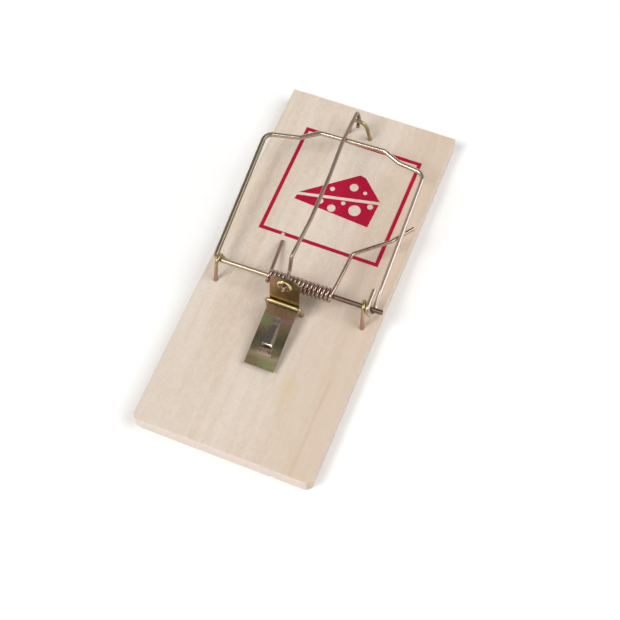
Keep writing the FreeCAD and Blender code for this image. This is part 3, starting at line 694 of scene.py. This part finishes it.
def make_board(finish):
    """Sawn board: a rounded outline carried up a profile of eased edges. Each ring is the outline
    drawn in by the profile's inset; a sum of long waves and a small nick move it a trace inward."""
    corner, rim = 1.8, 0.9
    nick_x, nick_width, nick_depth, nick_height = 12.9, 0.55, 0.42, 0.8

    def stretch(a, b, count):
        return np.array(a) + np.linspace(0, 1, count, endpoint=False)[:, None] * (np.array(b) - a)

    def arc(x, y, first, last):
        angle = np.radians(np.linspace(first, last, 9, endpoint=False))
        return np.stack([x + corner * np.cos(angle), y + corner * np.sin(angle)], axis=-1)

    hx, hy = BOARD_HALF_X, BOARD_HALF_Y
    outline = np.concatenate([
        stretch((-hx + corner, -hy), (hx - corner, -hy), 90), arc(hx - corner, -hy + corner, -90, 0),
        stretch((hx, -hy + corner), (hx, hy), 180), stretch((hx, hy), (-hx, hy), 90),
        stretch((-hx, hy), (-hx, -hy + corner), 180), arc(-hx + corner, -hy + corner, 180, 270)])
    # height and inset, from the underside up
    profile = np.array([(0.0, 0.30), (0.0, 0.20), (0.06, 0.06), (0.25, 0.0), (1.2, 0.0), (2.5, 0.0),
                        (3.8, 0.0), (4.62, 0.0), (4.80, 0.05), (4.92, 0.14), (4.985, 0.27),
                        (BOARD_TOP, 0.42)])
    inward = -np.stack([np.clip(outline[:, 0], -1, 1) * (abs(outline[:, 0]) > hx - rim),
                        np.clip(outline[:, 1], -1, 1) * (abs(outline[:, 1]) > hy - rim)], axis=-1)
    round_corner = (outline[:, 1] < -hy + corner) & (abs(outline[:, 0]) > hx - corner)
    middle = np.stack([np.sign(outline[:, 0]) * (hx - corner), np.full(len(outline), corner - hy)],
                      axis=-1)
    inward = np.where(round_corner[:, None], unit(middle - outline + 1e-9), inward)
    where = outline[:, 0] * 0.9 + outline[:, 1] * 1.1
    waves = np.sin(where * 0.9) + np.sin(where * 2.3 + 1.3) + np.sin(where * 5.1 + 0.4)
    waves = waves * 0.010 + 0.03
    front = abs(outline[:, 1] + hy) < 0.01
    nick = front * np.exp(-((outline[:, 0] - nick_x) / nick_width) ** 2) * nick_depth
    low = np.exp(-(profile[:, 0] / nick_height) ** 2)
    edge = (profile[:, 1] > 0)[:, None] * 1.0
    inset = profile[:, 1][:, None] + waves[None, :] * edge + nick[None, :] * low[:, None]
    rings = outline[None] + inward[None] * inset[..., None]
    rings = np.dstack([rings, np.repeat(profile[:, 0][:, None], len(outline), axis=1)])
    shrink = np.array([0.72, 0.4])[:, None, None]
    cap = np.array([1, 1, 0]) * shrink + np.array([0, 0, 1])
    rows = np.concatenate([(rings[0] * cap)[::-1], rings, rings[-1] * cap])
    vertices = np.concatenate([rows.reshape(-1, 3), [(0, 0, 0), (0, 0, BOARD_TOP)]])
    faces = capped_tube_faces(len(rows), len(outline))
    piece = new_piece("wooden_board", vertices, faces, "base", finish, 50.0)
    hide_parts("base_board")


# ---- bait pedal -----------------------------------------------------------------------------


def on_plate(along, below):
    """Point of the plate's side view: along the plate to the front, and below the hinge."""
    y = -along * math.cos(SLOPE) + below * math.sin(SLOPE)
    z = -along * math.sin(SLOPE) - below * math.cos(SLOPE)
    return y, z


def bent_strip(flat, lift):
    """Flat strip (x, distance along it) onto the bent one: plate below zero, a round bend about
    the hinge, then the tab. lift moves a point off the sheet towards its front face."""
    x, q = flat[..., 0], flat[..., 1]
    rho = SHEET_MIDDLE - lift
    plate_y, plate_z = on_plate(-q, rho)
    angle = SLOPE - math.pi / 2 + q / SHEET_MIDDLE
    up = q - BEND_LENGTH
    tab_y = up * math.sin(LEAN) + rho * math.cos(LEAN)
    tab_z = up * math.cos(LEAN) - rho * math.sin(LEAN)
    y = np.where(q < 0, plate_y, np.where(q < BEND_LENGTH, rho * np.cos(angle), tab_y))
    z = np.where(q < 0, plate_z, np.where(q < BEND_LENGTH, rho * np.sin(angle), tab_z))
    return np.stack([x, y, z], axis=-1)


def finer(values, times):
    """The same list with each gap cut into equal parts."""
    values = np.asarray(values, float)
    return np.interp(np.arange((len(values) - 1) * times + 1) / times, np.arange(len(values)), values)


# how far across the strip its points lie, from -1 to 1, at the back and the front of the slot
NEAR = finer([-1, -0.706, -0.353, 0, 0.353, 0.706, 1], 4)
FAR = finer([-1, -0.559, -0.28, 0, 0.28, 0.559, 1], 4)
SIDE = np.linspace(0, 1, 30)[1:-1]
# points of the slot's end that are left on each side of a tongue
MARGIN = 4


def on_strip(x, along):
    """Points (x, distance along the strip); either may be one number for the whole row."""
    return np.stack(np.broadcast_arrays(x, along), axis=-1)


def dished(flat):
    """The plate bows a little round its slot and the tab is not quite flat."""
    x, q = flat[..., 0], flat[..., 1]
    bow = np.cos(x / STRIP_HALF * math.pi / 2)
    plate = -0.09 * bow * np.clip(-q / 3, 0, 1) * np.sin(q * 0.32)
    tab = 0.05 * bow * np.clip((q - BEND_LENGTH) / 3, 0, 1)
    return plate + tab


def plate_patch():
    """Plate round its slot: row t is the outline times 1 - t plus the slot's edge times t."""
    outer = np.concatenate([
        on_strip(STRIP_HALF * NEAR, PLATE_BACK),
        on_strip(STRIP_HALF, PLATE_BACK + SIDE * (PLATE_FRONT - PLATE_BACK)),
        on_strip(STRIP_HALF * FAR[::-1], PLATE_FRONT),
        on_strip(-STRIP_HALF, PLATE_FRONT + SIDE * (PLATE_BACK - PLATE_FRONT))])
    edge = SLOT_NARROW + SIDE * (SLOT_WIDE - SLOT_NARROW)
    inner = np.concatenate([
        on_strip(SLOT_NARROW * NEAR, SLOT_BACK - 0.16 * abs(NEAR) ** 6),
        on_strip(edge, SLOT_BACK + SIDE * (SLOT_FRONT - SLOT_BACK)),
        on_strip(SLOT_WIDE * FAR[::-1], SLOT_FRONT + 0.35 * abs(FAR[::-1]) ** 4),
        on_strip(-edge[::-1], SLOT_FRONT + SIDE * (SLOT_BACK - SLOT_FRONT))])
    share = np.linspace(0, 1, 9)[:, None, None]
    return outer * (1 - share) + inner * share


def bend_patch():
    """Rows straight across the strip, from the plate's patch round the hinge to the tab's."""
    q = np.r_[np.linspace(PLATE_BACK, 0, 5)[:-1], np.linspace(0, BEND_LENGTH, 12)[:-1],
              np.linspace(BEND_LENGTH, TAB_START, 5)]
    return on_strip(STRIP_HALF * NEAR[None, :], q[:, None])


def tab_patch():
    """Tab round its pierced hole, and how far each point curls to the front. Rows go from the
    outline to a ring round the hole, then to its torn edge; waves round the hole tear its edge
    and vary the height of its curl."""
    angle = np.linspace(0, math.pi / 2, 12)
    round_x, round_q = TAB_CORNER * np.cos(angle), TAB_CORNER * np.sin(angle)
    centre_x, centre_q = STRIP_HALF - TAB_CORNER, TAB_TOP - TAB_CORNER
    climb = TAB_START + np.linspace(0, 1, 14)[1:-1] * (centre_q - TAB_START)
    outer = np.concatenate([
        on_strip(STRIP_HALF * NEAR, TAB_START), on_strip(STRIP_HALF, climb),
        on_strip(centre_x + round_x, centre_q + round_q),
        on_strip(np.linspace(centre_x, -centre_x, 14)[1:-1], TAB_TOP),
        on_strip(-centre_x - round_q, centre_q + round_x), on_strip(-STRIP_HALF, climb[::-1])])
    ring_radius, hole_radius, ring_share, lip_share, quarter = 1.85, 1.36, 0.82, 0.18, 0.62
    centre = np.array([0, CATCH])
    around = np.arctan2(outer[:, 1] - CATCH, outer[:, 0])
    tear = 0.20 * abs(np.sin(2 * around + 0.5)) + 0.10 * np.sin(5 * around + 1.1)
    tear = tear + 0.07 * np.sin(9 * around)
    spoke = on_strip(np.cos(around), np.sin(around))
    ring = centre + spoke * ring_radius
    lip = centre + spoke * (hole_radius - tear * 1.5)[:, None]
    share = np.r_[np.linspace(0, ring_share, 9), np.linspace(0.86, 1.0, 7)]
    to_ring = np.clip(share / ring_share, 0, 1)[:, None, None]
    to_lip = np.clip((share - ring_share) / lip_share, 0, 1)[:, None, None]
    flat = (outer * (1 - to_ring) + ring * to_ring) * (1 - to_lip) + lip * to_lip
    height = 0.30 + 0.20 * np.sin(3 * around + 0.8) + 0.08 * np.sin(7 * around)
    curl = np.sin(to_lip[..., 0] * math.pi * quarter) / math.sin(math.pi * quarter)
    return flat, height[None] * curl


def leaf(edge, slot_points, line, places, widths):
    """A tongue from part of the slot's end. Each row has its own width, read off at its distance
    along the line of the side view, and the first row is the slot's own edge."""
    gone = np.r_[0, np.cumsum(np.linalg.norm(np.diff(line, axis=0), axis=1))]
    across = (edge / np.max(abs(edge)))[None, :] * np.interp(gone, places, widths)[:, None]
    y, z = on_plate(line[:, 0], line[:, 1])
    rows = np.stack(np.broadcast_arrays(across, y[:, None], z[:, None]), axis=-1)
    rows[0] = bent_strip(slot_points, dished(slot_points))
    return rows, on_strip(across, -line[:, 0][:, None]), gone


def bait_tongue(slot_edge):
    """Long tongue from the back of the slot, rising to a lip that turns down, crowned across."""
    line = bent_line([(3.6, SHEET_MIDDLE, 0, 0), (3.95, SHEET_MIDDLE, 0, 0.6),
                      (10.48, -0.274, 0, 0.42), (11.0, 0.70, 0, 0)], 0.5, 0.08)
    rows, strip, gone = leaf(SLOT_NARROW * NEAR[MARGIN:-MARGIN], slot_edge[MARGIN:len(NEAR) - MARGIN],
                             line, [0, 7.4, 9], [0.6, 1.35, 1.38])
    crown = 0.10 * (1 - (rows[1:, :, 0] / 1.35) ** 2)
    rows[1:, :, 2] -= crown * np.clip(gone[1:, None] / 2, 0, 1)
    return rows, strip


def bait_prong(slot_edge):
    """Short prong from the front of the slot, bent up and over."""
    line = bent_line([(12.4, SHEET_MIDDLE, 0, 0), (12.05, SHEET_MIDDLE, 0, 0.4),
                      (11.55, -0.15, 0, 0.55), (11.95, -0.62, 0, 0)], 0.3, 0.08)
    edge = SLOT_WIDE * FAR[MARGIN:-MARGIN]
    start = len(NEAR) + len(SIDE) + MARGIN
    slot_points = slot_edge[start:start + len(edge)][::-1]
    rows, strip, _ = leaf(edge, slot_points, line, [0, 1.0, 2.2], [0.95, 0.85, 0.62])
    return rows[::-1], strip[::-1]


def make_pedal(finish):
    """One pierced and bent strip, made of patches that meet edge to edge. Each patch is its rows
    of points, their places on the flat strip, and whether its rows close on themselves."""
    plate, bend = plate_patch(), bend_patch()
    tab, curl = tab_patch()
    patches = [(bent_strip(plate, dished(plate)), plate, True),
               (bent_strip(bend, dished(bend))[::-1], bend[::-1], False),
               (bent_strip(tab, dished(tab) + curl)[::-1], tab[::-1], True),
               (*bait_tongue(plate[-1]), False),
               (*bait_prong(plate[-1]), False)]
    vertices, faces, own, total = [], [], [], 0
    for rows, strip, closed in patches:
        count, columns = rows.shape[:2]
        faces.extend(grid_faces(count, columns, closed, total).tolist())
        vertices.append(rows.reshape(-1, 3))
        own.append(np.dstack([strip, np.zeros((count, columns))]).reshape(-1, 3))
        total += count * columns
    points = np.concatenate(vertices) + PEDAL_HINGE
    piece = new_piece("bait_pedal_sheet", points, faces, None, finish, 40.0)
    own_coordinates(piece, "strip", np.concatenate(own))
    return piece


def close_sheet(piece):
    """Weld the patches, give the sheet its thickness and ease its cut edges."""
    shape = bmesh.new()
    shape.from_mesh(piece.data)
    weld, ease, sharp = 0.004, 0.05, 50
    bmesh.ops.remove_doubles(shape, verts=shape.verts, dist=weld * MM)
    bmesh.ops.recalc_face_normals(shape, faces=shape.faces)
    shape.to_mesh(piece.data)
    shape.free()
    piece.data.shade_smooth()
    thick = piece.modifiers.new("sheet", "SOLIDIFY")
    thick.thickness = SHEET_THICK * MM
    thick.offset = 0.0
    thick.use_even_offset = True
    eased = piece.modifiers.new("eased_edges", "BEVEL")
    eased.width = ease * MM
    eased.segments = 2
    eased.harden_normals = True
    eased.limit_method = "ANGLE"
    eased.angle_limit = math.radians(sharp)
    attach(piece, "pedal")
    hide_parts("bait_pedal")


# ---- studio ---------------------------------------------------------------------------------


def make_floor():
    half = 0.7
    mesh = bpy.data.meshes.new("studio_floor")
    corners = [(-half, -half, 0), (half, -half, 0), (half, half, 0), (-half, half, 0)]
    mesh.from_pydata(corners, [], [(0, 1, 2, 3)])
    floor = bpy.data.objects.new("studio_floor", mesh)
    bpy.context.scene.collection.objects.link(floor)
    mesh.materials.append(studio_floor())


def make_camera():
    """Camera looking down at the board from the front right, a little rolled."""
    azimuth, elevation, roll = np.radians([25.74, 63.72, -4.09]).tolist()
    place = (0.06254, -0.12658, 0.26897)
    back = Vector((math.sin(azimuth) * math.cos(elevation),
                   -math.cos(azimuth) * math.cos(elevation), math.sin(elevation)))
    level = Vector((math.cos(azimuth), math.sin(azimuth), 0))
    right = level * math.cos(roll) + back.cross(level) * math.sin(roll)
    up = back.cross(right)
    data = bpy.data.cameras.new("camera")
    data.lens, data.sensor_width = 70.88, 36.0
    data.clip_start, data.clip_end = 0.01, 20.0
    camera = bpy.data.objects.new("camera", data)
    camera.matrix_world = Matrix((
        (right.x, up.x, back.x, place[0]), (right.y, up.y, back.y, place[1]),
        (right.z, up.z, back.z, place[2]), (0, 0, 0, 1)))
    bpy.context.scene.collection.objects.link(camera)
    bpy.context.scene.camera = camera


def soft_light(name, place, width, height, power, colour=(1, 1, 1)):
    """Rectangular light aimed at the origin; lengths in metres, power in watts."""
    data = bpy.data.lights.new(name, "AREA")
    data.shape, data.size, data.size_y = "RECTANGLE", width, height
    data.energy, data.color = power, colour
    light = bpy.data.objects.new(name, data)
    light.location = place
    light.rotation_euler = (-Vector(place)).to_track_quat("-Z", "Y").to_euler()
    bpy.context.scene.collection.objects.link(light)


def make_studio():
    """Two softboxes and a grey surround, white at the horizon and darker overhead."""
    soft_light("key_softbox", (-0.36, -0.42, 0.80), 0.34, 0.47, 5.2, (1.0, 0.985, 0.96))
    soft_light("side_softbox", (0.62, 0.13, 0.72), 0.72, 0.62, 4.9)
    world = bpy.data.worlds.new("studio")
    bpy.context.scene.world = world
    world.use_nodes = True
    tree = world.node_tree
    tree.nodes.clear()
    coordinates = tree.nodes.new("ShaderNodeTexCoord")
    parts = tree.nodes.new("ShaderNodeSeparateXYZ")
    ramp = tree.nodes.new("ShaderNodeValToRGB")
    shade = tree.nodes.new("ShaderNodeBackground")
    out = tree.nodes.new("ShaderNodeOutputWorld")
    tree.links.new(coordinates.outputs["Generated"], parts.inputs[0])
    tree.links.new(parts.outputs["Z"], ramp.inputs[0])
    tree.links.new(ramp.outputs[0], shade.inputs[0])
    tree.links.new(shade.outputs[0], out.inputs[0])
    stops = ramp.color_ramp.elements
    stops[0].position, stops[1].position = 0.0, 1.0
    stops[0].color, stops[1].color = (1.0, 1.0, 1.0, 1), (0.16, 0.16, 0.16, 1)
    for height, grey in ((0.25, 0.75), (0.5, 0.36)):
        stops.new(height).color = (grey, grey, grey, 1)
    bpy.context.scene.view_settings.view_transform = "Standard"


# ---- build ----------------------------------------------------------------------------------

make_camera()
make_floor()
make_studio()

# the bail's wire: painted shade darkens the right end of its axle and its left arm, standing for the
# dark overhead they reflect; the other lengths get mild tints, and every listed length is rougher
bail_finish = plated_wire(
    "bail_wire", srgb(200, 188, 172), srgb(200, 178, 158), srgb(188, 180, 158), 0.26,
    [(-5.0, 14.5, srgb(108, 80, 68), 0.9), (17.5, 41.5, srgb(180, 162, 140), 0.6),
     (43.5, 78.5, srgb(122, 110, 88), 0.85), (124.0, 157.0, srgb(204, 186, 176), 0.8),
     (160.0, 190.0, srgb(176, 156, 138), 0.6)])
# staples: greenish gold over the crown, pinkish legs
staple_finish = plated_wire(
    "staple_wire", srgb(188, 176, 132), srgb(192, 166, 132), srgb(172, 168, 116), 0.24,
    [(-5.0, 8.0, srgb(186, 150, 132), 0.85), (10.0, 15.5, srgb(150, 142, 98), 0.6),
     (16.5, 60.0, srgb(178, 150, 120), 0.6)])
spring_finish = plated_wire(
    "spring_wire", srgb(180, 156, 144), srgb(156, 118, 108), srgb(178, 164, 148), 0.16)
bar_finish = plated_wire(
    "bar_wire", srgb(168, 148, 130), srgb(158, 132, 114), srgb(158, 146, 128), 0.34)

make_board(board_wood())
make_staples(staple_finish)
make_bail(bail_finish)
make_spring(spring_finish)
make_locking_bar(bar_finish)
close_sheet(make_pedal(pedal_sheet()))
